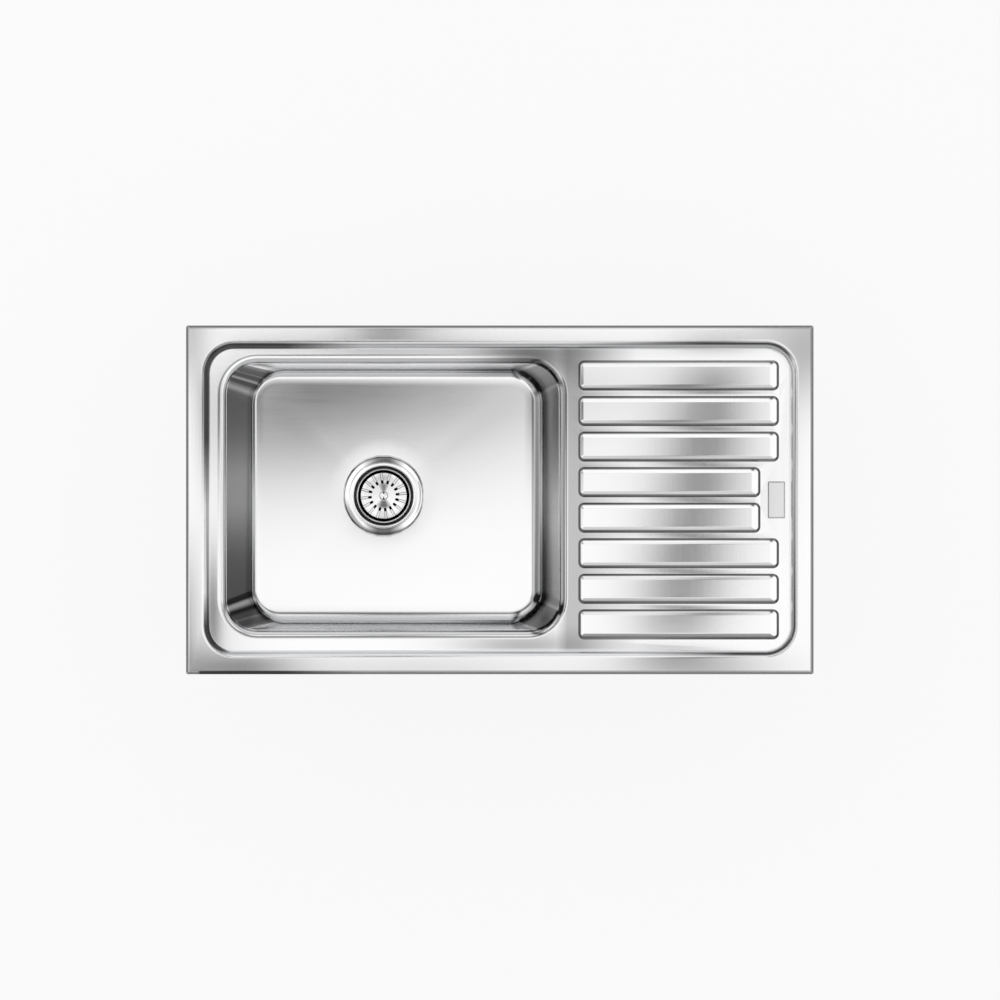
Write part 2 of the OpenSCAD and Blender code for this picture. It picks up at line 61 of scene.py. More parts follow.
distance = cameraSetup["seen"] * cameraSetup["lens"] / 36
bpy.ops.object.camera_add(
    location=(*cameraSetup["middle"], cameraSetup["deckTop"] + distance), rotation=(0, 0, 0)
)
camera = bpy.context.object
camera.name = "camera"
camera.data.lens = cameraSetup["lens"]
camera.data.sensor_width = 36
camera.data.clip_start = 1
camera.data.clip_end = 100
bpy.context.scene.camera = camera
bpy.context.scene.view_settings.view_transform = "Standard"
print("camera placed")


# Materials

class Wire:
    # One output of a node. Sums written on wires add Math nodes.
    def __init__(self, finish, socket):
        self.finish = finish
        self.socket = socket

    def sum(self, operation, first, second):
        return self.finish.node("ShaderNodeMath", {"operation": operation}, {0: first, 1: second})

    def __add__(self, other):
        return self.sum("ADD", self, other)

    def __radd__(self, other):
        return self.sum("ADD", other, self)

    def __sub__(self, other):
        return self.sum("SUBTRACT", self, other)

    def __rsub__(self, other):
        return self.sum("SUBTRACT", other, self)

    def __mul__(self, other):
        return self.sum("MULTIPLY", self, other)

    def __rmul__(self, other):
        return self.sum("MULTIPLY", other, self)

    def __truediv__(self, other):
        return self.sum("DIVIDE", self, other)

    def __pow__(self, other):
        return self.sum("POWER", self, other)

    def __rpow__(self, other):
        return self.sum("POWER", other, self)

    def other(self, output):
        # Another output of the same node
        return Wire(self.finish, self.socket.node.outputs[output])


class Finish:
    # A node tree that is written from its shader backwards
    def __init__(self, tree):
        self.tree = tree

    def node(self, kind, settings=None, sockets=None, output=0):
        made = self.tree.nodes.new(kind)
        for name, value in (settings or {}).items():
            setattr(made, name, value)
        for name, value in (sockets or {}).items():
            self.feed(made.inputs[name], value)
        return Wire(self, made.outputs[output])

    def feed(self, socket, value):
        if isinstance(value, Wire):
            self.tree.links.new(value.socket, socket)
        elif socket.type == "RGBA" and len(value) == 3:
            socket.default_value = (*value, 1)
        else:
            socket.default_value = value

    def place(self, stretch=(1, 1, 1), at=(0, 0, 0)):
        # Object coordinates, moved so that "at" is the origin, then stretched
        coordinates = self.node("ShaderNodeTexCoord", output=3)
        moved = self.node("ShaderNodeVectorMath", {"operation": "SUBTRACT"}, {0: coordinates, 1: at})
        return self.node("ShaderNodeMapping", {"vector_type": "POINT"}, {0: moved, 3: stretch})

    def axes(self, at=(0, 0, 0)):
        x = self.node("ShaderNodeSeparateXYZ", {}, {0: self.place(at=at)})
        return x, x.other(1), x.other(2)

    def facing(self):
        x = self.node("ShaderNodeSeparateXYZ", {}, {0: self.node("ShaderNodeNewGeometry", output=1)})
        return x, x.other(1), x.other(2)

    def noise(self, stretch, scale=1, detail=2, roughness=0.5, at=(0, 0, 0)):
        return self.node(
            "ShaderNodeTexNoise", {},
            {"Vector": self.place(stretch, at), "Scale": scale, "Detail": detail, "Roughness": roughness},
        )

    def turns(self, middle, fineness):
        # Fine rings round an upright axis
        x, y, z = self.axes((*middle, 0))
        radius = (x * x + y * y) ** 0.5
        return self.node(
            "ShaderNodeTexNoise", {"noise_dimensions": "1D"},
            {"W": (radius + z * 0.5) * fineness, "Scale": 1.0, "Detail": 2, "Roughness": 0.6},
        )

    def limit(self, value):
        # Kept from 0 to 1
        return self.node("ShaderNodeMath", {"operation": "MULTIPLY", "use_clamp": True}, {0: value, 1: 1.0})

    def hill(self, value, middle, width):
        # 1 at the middle, falling softly to 0 over the width
        off = (value - middle) / width
        return math.e ** (off * off * -1)

    def past(self, value, start, pace):
        # 0 up to the start, then rising to 1 at the given pace
        return self.limit((value - start) * pace)

    def before(self, value, end, pace):
        # 1 well before the end, falling to 0 there at the given pace
        return self.limit((end - value) * pace)

    def between(self, value, low, high, pace):
        return self.past(value, low, pace) * self.before(value, high, pace)

    def away(self, value):
        # How far a value is from 0, on either side
        return (value * value) ** 0.5

    def mix(self, share, first, second):
        return self.node(
            "ShaderNodeMix", {"data_type": "RGBA"}, {0: share, 6: first, 7: second}, output=2
        )

    def bump(self, height, strength, distance, normal=None):
        sockets = {"Height": height, "Strength": strength, "Distance": distance}
        if normal is not None:
            sockets["Normal"] = normal
        return self.node("ShaderNodeBump", {}, sockets)


def newMaterial(name, build):
    # A material with the shader that the given function builds
    material = bpy.data.materials.new(name)
    material.use_nodes = True
    material.node_tree.nodes.clear()
    output = material.node_tree.nodes.new("ShaderNodeOutputMaterial")
    shader = build(Finish(material.node_tree))
    material.node_tree.links.new(shader.socket, output.inputs[0])
    return material


def newFinish(name, sockets):
    return newMaterial(name, lambda finish: finish.node("ShaderNodeBsdfPrincipled", {}, sockets(finish)))


steel = {
    "colour": 0.86, "roughness": 0.15, "brush": 0.05,
    # the heights between which the bowl's floor turns into its walls, and how much shade is painted on its
    # ends and corners
    "wallFrom": -0.19650, "wallTo": -0.19630,
    "leftShade": 0.62, "rightShade": 0.68, "cornerShade": 0.82, "rightCornerShade": 0.80,
    # how strongly each end mirrors at a low angle, kept weak so that their painted shade stays dark, and the
    # painted highlight down the middle of both, as lean and width
    "leftEdge": 0.30, "rightEdge": 0.53, "endMiddle": (0.015, 0.064),
    # how much shade is painted on the pressed edges: on the pads, the step's left and back, and the rim
    "padShade": 0.62, "stepShade": 0.84, "rimShade": 0.86,
    # the field of pads as left, right and half width, their pitch, and how much the middle ones are shorter
    "padField": (0.105, 0.413, 0.2075), "padPitch": 0.0518, "padCut": 0.027,
    # the painted dark spot, shade of a small nick, in each pad's back right corner: its place in x and along
    # the row, its size and shade
    "paintedNick": (0.3957, 0.0440), "nickSize": (0.0026, 0.0017), "nickShade": 0.92,
    # the dark line of painted shade round the step: where it runs, its corner, its middle in y, its width and
    # its shade
    "line": (0.4293, 0.2261), "lineCorner": 0.0423, "lineMiddle": 0.0017,
    "lineWidth": 0.0027, "lineShade": 0.97,
    # where the turned-down rim starts, in x and y
    "rim": (0.4505, 0.2475),
    # the pan's front and back, and soft dim places of painted dark reflection on it and on the deck, as
    # middle, width and depth
    "pan": (-0.2225, 0.225),
    "panPaintedShade": [((0.045, 0.212), (0.092, 0.034), 0.80), ((0.035, -0.212), (0.100, 0.022), 0.50),
               ((-0.418, -0.165), (0.013, 0.085), 0.60)],
    "deckPaintedShade": [((-0.165, 0.245), (0.050, 0.050), 0.36), ((-0.452, 0.245), (0.030, 0.080), 0.40),
                ((0.450, 0.225), (0.080, 0.080), 0.50), ((-0.375, -0.245), (0.085, 0.030), 0.66),
                ((-0.130, -0.250), (0.230, 0.030), 0.24), ((0.290, -0.245), (0.120, 0.030), 0.40)],
    # the ledge between bowl and drainer: where it starts and ends, and its painted shade
    "ledge": (0.082, 0.200), "ledgeShade": 0.45,
    # the dim places of painted dark reflection on the bowl's lip and on its back wall, as middle, width and
    # depth, and where that wall starts in y
    "lipPaintedShade": ((0.045, 0.205), (0.065, 0.030), 0.75), "backPaintedShade": (0.010, 0.060, 0.60), "backWall": 0.178,
}


def satin(finish, along, shade=1.0, sheetWave=0.35, roughness=steel["roughness"]):
    # Sheet steel: fine brush lines one way, cloudy polish and a sheet that isn't quite flat
    lines = finish.noise(along, detail=3, roughness=0.65)
    clouds = finish.noise((7, 7, 7), detail=3)
    sheet = finish.noise((3.2, 4.1, 3.2), detail=1)
    light = steel["colour"]
    dull = (light * 0.965, light * 0.965, light * 0.97)
    tone = finish.mix(clouds, dull, (light * 1.03,) * 3)
    # the shade paints shade and dark reflections into the colour, mixing it towards near black
    if shade != 1.0:
        tone = finish.mix(shade, (0.012, 0.012, 0.013), tone)
    uneven = finish.bump(sheet, sheetWave, 0.002)
    return {
        "Base Color": tone,
        "Metallic": 1.0,
        "Roughness": roughness + (lines + clouds - 1) * steel["brush"],
        "Normal": finish.bump(lines, 0.06, 0.0002, uneven),
    }


def outlineDistance(finish, x, y):
    # How far outside the rounded line of painted shade round the step a point lies
    (reachX, reachY), corner = steel["line"], steel["lineCorner"]
    fromMiddle = y - steel["lineMiddle"]
    acrossX = finish.limit(finish.away(x) - (reachX - corner))
    acrossY = finish.limit(finish.away(fromMiddle) - (reachY - corner))
    return (acrossX * acrossX + acrossY * acrossY) ** 0.5 - corner


def leftEnds(finish, y):
    # The painted shade on the step's left side is darkest towards its two ends
    return finish.past(y, -0.01, 9) + finish.before(y, -0.135, 18)


def lineDepth(finish, x, y):
    # The painted dark line is darkest at the left's two ends, the back's two ends and round the front right
    # corner
    left = finish.before(x, -0.41, 60) * finish.limit(0.15 + leftEnds(finish, y)) * 0.65
    backEnds = finish.past(x, 0.10, 5) * 0.64 + finish.before(x, -0.22, 9) * 0.4
    back = finish.past(y, 0.20, 60) * (0.36 + backEnds)
    right = finish.past(x, 0.41, 60) * finish.limit(0.70 - y * 1.6)
    frontEnds = finish.past(x, 0.20, 7) + finish.before(x, -0.30, 8) * 0.45
    front = finish.before(y, -0.20, 60) * finish.limit(frontEnds)
    return finish.limit(left + back + right + front) * steel["lineShade"]


def padsShade(finish, x, y):
    # Painted shade on the pads' pressed sides, and a painted dark spot for the nick in each
    toX, toY, toZ = finish.facing()
    left, right, half = steel["padField"]
    onPads = finish.between(x, left, right, 200) * finish.between(y, -half, half, 300)
    sides = finish.limit(finish.limit((0.980 - toZ) / 0.13) + finish.limit(toY * -8 - 0.8))
    sides = sides * (steel["padShade"] + finish.limit(toX * 3 - 0.5) * 0.2)
    pitch = steel["padPitch"]
    alongRow = finish.node("ShaderNodeMath", {"operation": "MODULO"}, {0: y + 4 * pitch, 1: pitch})
    shorter = finish.before(finish.away(y), pitch, 2000) * steel["padCut"]
    paintedNick = finish.hill(x + shorter, steel["paintedNick"][0], steel["nickSize"][0])
    paintedNick = paintedNick * finish.hill(alongRow, steel["paintedNick"][1], steel["nickSize"][1])
    return (1 - sides * onPads) * (1 - paintedNick * onPads * steel["nickShade"])


def stepShade(finish, x, y, fromLine):
    # Painted shade on the step's left and back sides, on the line round it and on the turned-down rim
    toX, toY, toZ = finish.facing()
    onLeft = finish.limit(toX * 5 - 0.5) * finish.before(x, -0.17, 8)
    left = onLeft * finish.limit(0.10 + leftEnds(finish, y))
    backLeft = finish.limit(toY * -5 - 0.5) * finish.before(x, -0.20, 9)
    steep = finish.limit((0.988 - toZ) / 0.05)
    sides = steep * finish.limit(left + backLeft) * finish.past(x, -0.440, 300)
    line = finish.hill(fromLine, 0, steel["lineWidth"]) * lineDepth(finish, x, y)
    rimX, rimY = steel["rim"]
    outside = finish.past(finish.away(x), rimX, 1000) + finish.past(finish.away(y), rimY, 1000)
    rim = finish.before(toZ, 0.80, 10) * finish.limit(outside)
    return (1 - sides * steel["stepShade"]) * (1 - line) * (1 - rim * steel["rimShade"])


def deckSatin(finish):
    # Brushed along the sink, with painted shade on its pressed edges and soft dim places of painted dark
    # reflection
    x, y, height = finish.axes()
    fromLine = outlineDistance(finish, x, y)
    inPan = finish.between(y, *steel["pan"], 150) * finish.before(height, 0.001, 2000)
    onDeck = finish.past(height, 0.0035, 2000) * finish.past(fromLine, 0.0045, 400)
    # painted shade along the ledge between bowl and drainer
    start, end = steel["ledge"]
    ledge = finish.past(x, start, 60) * finish.before(x, end, 12) * inPan
    shade = padsShade(finish, x, y) * stepShade(finish, x, y, fromLine) * (1 - ledge * steel["ledgeShade"])
    # soft places of painted dark reflection on the pan and on the deck
    for places, mask in ((steel["panPaintedShade"], inPan), (steel["deckPaintedShade"], onDeck)):
        for middle, width, depth in places:
            place = finish.hill(x, middle[0], width[0]) * finish.hill(y, middle[1], width[1])
            shade = shade * (1 - place * mask * depth)
    return satin(finish, (900, 9, 900), shade)


def endsShade(finish, y, toX):
    # How much shade is painted on the bowl's two ends: the left wall, and the right wall with its fillet,
    # with less of it down their middle as a painted highlight
    lean, width = steel["endMiddle"]
    middle = 1 - finish.limit(finish.hill(y - toX * lean, 0, width) * 1.08)
    ends = finish.limit(toX * y * -12) * 0.10
    left = finish.past(toX, 0.94, 40) * (steel["leftShade"] + ends) * middle
    fillet = 0.70 - finish.limit(toX * -6 - 2.4) * 0.35 - finish.limit(toX * -5 - 3) * 0.33
    fillet = fillet * finish.limit(toX * -5 - 0.6)
    rightWall = (steel["rightShade"] + ends) * middle
    upright = finish.before(toX, -0.93, 25)
    return left + fillet + (rightWall - fillet) * upright + finish.hill(toX, -0.10, 0.05) * 0.7


def cornersShade(finish, toX, toY):
    # How far a face belongs to a corner of the bowl, and how much shade is painted on the corners, broken by
    # painted highlight streaks
    level = (toX * toX + toY * toY) ** 0.5 + 0.001
    diagonal = (toX / level) * (toX / level) * (toY / level) * (toY / level)
    corner = finish.limit(diagonal * 12 - 1.1)
    heading = finish.node("ShaderNodeMath", {"operation": "ARCTAN2"}, {0: toY, 1: toX})
    highlightStreaks = finish.node(
        "ShaderNodeTexNoise", {"noise_dimensions": "1D"}, {"W": heading * 5.5, "Scale": 1.0, "Detail": 1}
    )
    highlightStreaks = finish.past(highlightStreaks, 0.55, 7)
    dark = corner * finish.limit(level * 3.2 - 2) * (1 - highlightStreaks * 0.85) * steel["cornerShade"]
    onRight = finish.limit(diagonal * 8 - 0.2) * finish.limit(toX * -3) * finish.limit(level * 3 - 0.9)
    return corner, dark + onRight * steel["rightCornerShade"]


def bowlSatin(edge=1.0):
    # The floor is brushed along the sink and the walls round the bowl. The end walls, the corners and the
    # front's foot get painted shade, with painted highlight streaks in the corners, and the lip and the back
    # wall get places of painted dark reflection.
    def sockets(finish):
        x, y, height = finish.axes()
        toX, toY, toZ = finish.facing()
        wall = finish.limit((height - steel["wallFrom"]) / (steel["wallTo"] - steel["wallFrom"]))
        lines = finish.noise((9, 900, 9), detail=3, roughness=0.65)
        wallLines = finish.noise((14, 14, 1100), detail=3, roughness=0.65)
        lines = lines + (wallLines - lines) * wall
        corner, cornerDark = cornersShade(finish, toX, toY)
        # painted shade along the front's foot
        front = finish.hill(toY, 0.14, 0.09) * 0.62 + finish.hill(toY, 0.45, 0.08) * 0.3
        shade = 1 - wall * finish.limit(endsShade(finish, y, toX) * (1 - corner) + front + cornerDark)
        # painted dark reflection on the lip and on the back wall
        lip = finish.past(height, -0.014, 200)
        middle, width, depth = steel["lipPaintedShade"]
        place = finish.hill(x, middle[0], width[0]) * finish.hill(y, middle[1], width[1])
        shade = shade * (1 - lip * place * depth)
        middle, width, depth = steel["backPaintedShade"]
        place = finish.hill(x, middle, width) * finish.past(y, steel["backWall"], 100)
        shade = shade * (1 - wall * place * (1 - lip) * depth)
        made = satin(finish, (9, 900, 9), shade)
        clouds = finish.noise((7, 7, 7), detail=3)
        made["Roughness"] = steel["roughness"] + (lines + clouds - 1) * steel["brush"]
        made["Normal"] = finish.bump(lines, 0.07, 0.0002)
        # the end walls' copies mirror weakly at a low angle, so that their painted shade stays dark
        made["Specular Tint"] = (edge, edge, edge)
        return made
    return sockets


def turnedSteel(middle, tone=0.86, roughness=0.17, anisotropic=0.6, fineness=1400, shading=None, edge=1.0):
    # Spun and polished steel, with fine rings round its axis
    def sockets(finish):
        rings = finish.turns(middle, fineness)
        clouds = finish.noise((60, 60, 60), detail=2)
        colour = finish.mix(clouds, (tone * 0.96, tone * 0.96, tone * 0.97), (tone, tone, tone))
        # a shading function paints shade and dark reflections into the colour, towards near black
        if shading:
            x, y, height = finish.axes((*middle, 0))
            square = x * x + y * y + 1e-9
            colour = finish.mix(shading(finish, y, square ** 0.5, y * y / square), (0.01, 0.01, 0.01), colour)
        return {
            "Base Color": colour,
            "Metallic": 1.0,
            "Roughness": roughness + (rings - 0.5) * 0.06,
            "Anisotropic": anisotropic,
            "Specular Tint": (edge, edge, edge),
            "Normal": finish.bump(rings, 0.08, 0.0001),
        }
    return sockets


def flangeShade(finish, y, reach, upright):
    # Two opposite dark patches on the flange's outer half, painted reflections like those turned steel shows,
    # and painted shade along its outer edge
    patch = finish.past(upright, 0.66, 3.2) * finish.past(reach, 0.0463, 420)
    edge = finish.past(reach, 0.0562, 2500)
    depth = waste["patchShade"] - finish.limit(y * 50) * 0.10
    return (1 - patch * depth) * (1 - edge * waste["edgeShade"])


def cupShade(finish, y, reach, upright):
    # Painted reflections in two dark fans beside the knob and in a ring outside them, and painted shade at
    # the flutes' edges and up the dish's wall
    toZ = finish.facing()[2]
    below = finish.limit(y * -2000)
    frontFan = finish.past(upright, 0.50, 2.2) * below * waste["frontFan"]
    backFan = finish.past(upright, 0.76, 4.2) * (1 - below) * waste["backFan"]
    fan = (frontFan + backFan) * finish.past(reach, 0.0055, 400) * finish.before(reach, 0.0208, 200)
    outer = finish.past(upright, 0.80, 4) * finish.past(reach, 0.021, 400) * waste["outerShade"]
    edges = finish.before(toZ, 0.990, 9) * finish.before(reach, 0.0345, 2000) * waste["fluteShade"]
    wall = finish.before(toZ, 0.70, 5) * finish.before(reach, 0.0379, 4000) * waste["wallShade"]
    return (1 - fan) * (1 - outer) * (1 - edges) * (1 - wall)


def knobShade(finish, y, reach, upright):
    # Two dark spots of painted reflection on the knob's top, and painted shade on its side
    toZ = finish.facing()[2]
    onTop = finish.past(reach, 0.0016, 1500) * finish.before(reach, 0.0060, 2500)
    spots = finish.past(upright, 0.86, 12) * onTop * waste["spotShade"]
    return (1 - spots) * (1 - finish.before(toZ, 0.80, 4) * waste["sideShade"])


def zinc(finish):
    # Bright zinc plate with a faint blue cast and a soft spangle
    spangle = finish.node("ShaderNodeTexVoronoi", {}, {"Vector": finish.place(), "Scale": 420.0})
    clouds = finish.noise((90, 90, 90), detail=3)
    return {
        "Base Color": finish.mix(clouds, (0.60, 0.62, 0.66), (0.74, 0.75, 0.77)),
        "Metallic": 1.0,
        "Roughness": 0.3 + (spangle - 0.5) * 0.12,
        "Normal": finish.bump(spangle, 0.08, 0.0002),
    }


def threadedZinc(finish):
    # The clip bolts' rolled thread, as rings below the heads
    height = finish.axes()[2]
    crest = finish.node("ShaderNodeMath", {"operation": "SINE"}, {0: height * (2 * math.pi / 0.0008)})
    made = zinc(finish)
    made["Normal"] = finish.bump(crest, 0.6, 0.0003)
    return made


def castMetal(finish):
    # Die-cast zinc alloy: dull, lightly pitted, rubbed brighter in patches
    pits = finish.noise((700, 700, 700), detail=3, roughness=0.7)
    rubbed = finish.noise((45, 45, 45), detail=2)
    return {
        "Base Color": finish.mix(rubbed, (0.46, 0.47, 0.49), (0.66, 0.67, 0.69)),
        "Metallic": 1.0,
        "Roughness": 0.44 - (rubbed - 0.5) * 0.25,
        "Normal": finish.bump(pits, 0.25, 0.0004),
    }


def brass(finish):
    marks = finish.noise((200, 200, 1400), detail=2)
    return {
        "Base Color": finish.mix(marks, (0.66, 0.48, 0.20), (0.84, 0.68, 0.36)),
        "Metallic": 1.0,
        "Roughness": 0.26 + (marks - 0.5) * 0.12,
        "Normal": finish.bump(marks, 0.1, 0.0002),
    }


def rubber(dark, light, fineness=500):
    def sockets(finish):
        grain = finish.noise((fineness, fineness, fineness), detail=3)
        bloom = finish.noise((25, 25, 25), detail=2)
        return {
            "Base Color": finish.mix(bloom, dark, light),
            "Roughness": 0.62 + (grain - 0.5) * 0.2,
            "Normal": finish.bump(grain, 0.3, 0.0003),
        }
    return sockets


def soundPad(finish):
    # Bitumen pad with a pebbled face and a scuffed, slightly dusty colour
    pebbles = finish.node(
        "ShaderNodeTexVoronoi", {"feature": "SMOOTH_F1"}, {"Vector": finish.place(), "Scale": 260.0}
    )
    dust = finish.noise((18, 18, 18), detail=4)
    return {
        "Base Color": finish.mix(dust, (0.17, 0.17, 0.18), (0.27, 0.27, 0.28)),
        "Roughness": 0.72 + (dust - 0.5) * 0.2,
        "Normal": finish.bump(1 - pebbles, 0.7, 0.0009),
    }


def fibreBoard(finish):
    strands = finish.noise((260, 260, 90), detail=4, roughness=0.7)
    return {
        "Base Color": finish.mix(strands, (0.50, 0.38, 0.25), (0.70, 0.58, 0.43)),
        "Roughness": 0.85,
        "Normal": finish.bump(strands, 0.4, 0.0004),
    }


def moulded(finish):
    flow = finish.noise((30, 30, 80), detail=2)
    grain = finish.noise((900, 900, 900), detail=2)
    return {
        "Base Color": finish.mix(flow, (0.80, 0.80, 0.77), (0.87, 0.87, 0.85)),
        "Roughness": 0.42 + (grain - 0.5) * 0.1,
        "Normal": finish.bump(grain, 0.15, 0.0002),
    }


def plateSatin(finish):
    # the plate's steel a little darker than the deck's, with painted shade on its steep frame edges
    toZ = finish.facing()[2]
    return satin(finish, (1200, 20, 1200), 0.84 - finish.before(toZ, 0.985, 8) * 0.66, 0.1, 0.2)


waste = {
    # the throat's inside is a dark steel standing in for painted shade
    "middle": (-0.170, 0.006), "throatShadeTone": 0.16,
    # how much darker the flange's two painted reflection patches and its painted outer edge show
    "patchShade": 0.86, "edgeShade": 0.6,
    # the same for the dish's painted fans at front and back, its painted outer ring, its flutes' edges and
    # its wall
    "frontFan": 0.84, "backFan": 0.72, "outerShade": 0.32, "fluteShade": 0.82, "wallShade": 0.97,
    # and for the knob's two painted spots on its top and for its painted side
    "spotShade": 0.86, "sideShade": 0.7,
}
axis = waste["middle"]
finishes = {
    "deck": newFinish("satin_deck", deckSatin),
    "bowl": newFinish("satin_bowl", bowlSatin()),
    # copies of the bowl's finish for its end walls, which mirror less at a low angle so that their painted
    # shade stays dark
    "bowlLeft": newFinish("satin_bowl_left", bowlSatin(steel["leftEdge"])),
    "bowlRight": newFinish("satin_bowl_right", bowlSatin(steel["rightEdge"])),
    "plate": newFinish("satin_plate", plateSatin),
    "flange": newFinish("flange_steel", turnedSteel(axis, 0.95, 0.15, 0.3, 900, flangeShade)),
    # the dish and the throat mirror little at a low angle so that their painted shade stays dark; the
    # throat's dark steel is painted shade inside the waste
    "cup": newFinish("cup_steel", turnedSteel(axis, 0.92, 0.12, 0.3, shading=cupShade, edge=0.15)),
    "throat": newFinish("shaded_throat_steel", turnedSteel(axis, waste["throatShadeTone"], 0.3, 0.0, edge=0.2)),
    "knob": newFinish("knob_steel", turnedSteel(axis, 0.92, 0.12, 0.5, 2600, knobShade)),
    "tube": newFinish("tube_steel", turnedSteel(axis, 0.8, 0.16, 0.0, 900)),
    "zinc": newFinish("zinc_plate", zinc),
    "thread": newFinish("threaded_zinc", threadedZinc),
    "cast": newFinish("cast_zinc", castMetal),
    "brass": newFinish("turned_brass", brass),
    "black": newFinish("black_rubber", rubber((0.022, 0.022, 0.023), (0.045, 0.045, 0.045))),
    "grey": newFinish("grey_rubber", rubber((0.10, 0.10, 0.105), (0.16, 0.16, 0.165))),
    "pad": newFinish("sound_pad", soundPad),
    "fibre": newFinish("pressed_fibre", fibreBoard),
    "white": newFinish("white_plastic", moulded),
}
print("materials made")


# Mesh tools

def deselectAll():
    if bpy.context.object and bpy.context.object.mode != "OBJECT":
        bpy.ops.object.mode_set(mode="OBJECT")
    bpy.ops.object.select_all(action="DESELECT")


def only(piece):
    deselectAll()
    piece.select_set(True)
    bpy.context.view_layer.objects.active = piece


def edit(piece, kind="EDGE"):
    only(piece)
    bpy.ops.object.mode_set(mode="EDIT")
    bpy.ops.mesh.select_mode(type=kind)


def leaveEdit():
    bpy.ops.object.mode_set(mode="OBJECT")


def selectAll():
    bpy.ops.mesh.select_all(action="SELECT")


def closeMesh():
    # Points the normals outwards and leaves edit mode
    selectAll()
    bpy.ops.mesh.normals_make_consistent(inside=False)
    leaveEdit()


def applyTransform():
    bpy.ops.object.transform_apply(location=True, rotation=True, scale=True)


def selectEdges(piece, test):
    mesh = bmesh.from_edit_mesh(piece.data)
    bpy.ops.mesh.select_all(action="DESELECT")
    for edge in mesh.edges:
        if test(edge):
            edge.select_set(True)
    bmesh.update_edit_mesh(piece.data)


def ring(middle, half, radius, height, cuts=0, segments=10):
    # A rounded rectangle of edges: a plane whose corners are bevelled
    deselectAll()
    bpy.ops.mesh.primitive_plane_add(size=1, location=(*middle, height))
    made = bpy.context.object
    edit(made)
    selectAll()
    bpy.ops.transform.resize(value=(2 * half[0], 2 * half[1], 1), center_override=(*middle, height))
    bpy.ops.mesh.bevel(offset=radius, offset_type="OFFSET", segments=segments, affect="VERTICES", profile=0.5)
    selectAll()
    bpy.ops.mesh.delete(type="ONLY_FACE")
    if cuts:
        straight = 0.5 * min(half[0] - radius, half[1] - radius)
        selectEdges(made, lambda edge: edge.calc_length() > straight)
        bpy.ops.mesh.subdivide(number_cuts=cuts)
    leaveEdit()
    applyTransform()
    return made


def joined(name, parts):
    deselectAll()
    for part in parts:
        part.select_set(True)
    bpy.context.view_layer.objects.active = parts[0]
    if len(parts) > 1:
        bpy.ops.object.join()
    made = bpy.context.object
    made.name = name
    made.data.name = name
    return made


def loft(name, rings):
    # Bridges each ring of edges to the next one
    for number, part in enumerate(rings):
        mark = part.data.attributes.new("ringNumber", "INT", "POINT")
        mark.data.foreach_set("value", [number] * len(part.data.vertices))
    made = joined(name, rings)
    edit(made)
    for number in range(len(rings) - 1):
        layer = bmesh.from_edit_mesh(made.data).verts.layers.int["ringNumber"]
        selectEdges(made, lambda edge: len(edge.link_faces) < 2
                    and all(vert[layer] in (number, number + 1) for vert in edge.verts))
        bpy.ops.mesh.bridge_edge_loops()
    closeMesh()
    return made


def openEdge(edge):
    return len(edge.link_faces) < 2


def modify(piece, kind, **settings):
    only(piece)
    modifier = piece.modifiers.new(kind.lower(), kind)
    for name, value in settings.items():
        setattr(modifier, name, value)
    bpy.ops.object.modifier_apply(modifier=modifier.name)


def turned(name, middle, profile, vertices=112):
    # A circle of edges, drawn along a profile of radius and height in millimetres
    deselectAll()
    radius, height = profile[0]
    bpy.ops.mesh.primitive_circle_add(
        vertices=vertices, radius=radius / 1000, location=(*middle, height / 1000), fill_type="NOTHING"
    )
    made = bpy.context.object
    made.name = name
    made.data.name = name
    edit(made)
    selectAll()
    for nextRadius, nextHeight in profile[1:]:
        move = (0, 0, (nextHeight - height) / 1000)
        bpy.ops.mesh.extrude_edges_move(TRANSFORM_OT_translate={"value": move})
        scale = nextRadius / radius
        bpy.ops.transform.resize(value=(scale, scale, 1), center_override=(*middle, nextHeight / 1000))
        radius, height = nextRadius, nextHeight
    if profile[0] == profile[-1]:
        selectAll()
        bpy.ops.mesh.remove_doubles(threshold=1e-5)
    else:
        bpy.ops.mesh.merge(type="COLLAPSE")
        selectEdges(made, openEdge)
        bpy.ops.mesh.edge_face_add()
    closeMesh()
    applyTransform()
    return made


def copyOf(piece, turn=0.0, at=(0, 0, 0)):
    only(piece)
    bpy.ops.object.duplicate()
    made = bpy.context.object
    made.rotation_euler = (0, 0, turn)
    made.location = at
    applyTransform()
    return made


def faceMaterial(piece, material, test):
    # Gives the faces that pass the test a second material
    piece.data.materials.append(material)
    slot = len(piece.data.materials) - 1
    for face in piece.data.polygons:
        if test(face):
            face.material_index = slot


def inward(face, middle):
    # How far a face looks towards an upright axis
    centre = face.center
    outX, outY = centre.x - middle[0], centre.y - middle[1]
    reach = max(math.hypot(outX, outY), 1e-6)
    return -(face.normal.x * outX + face.normal.y * outY) / reach


def smooth(piece, angle=32):
    only(piece)
    bpy.ops.object.shade_smooth_by_angle(angle=math.radians(angle))
    modify(piece, "WEIGHTED_NORMAL", keep_sharp=True, weight=60)


def dress(piece, material, body, slot, *nodes):
    piece.data.materials.clear()
    piece.data.materials.append(material)
    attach(piece, body)
    if nodes:
        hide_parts(*nodes)
    return piece


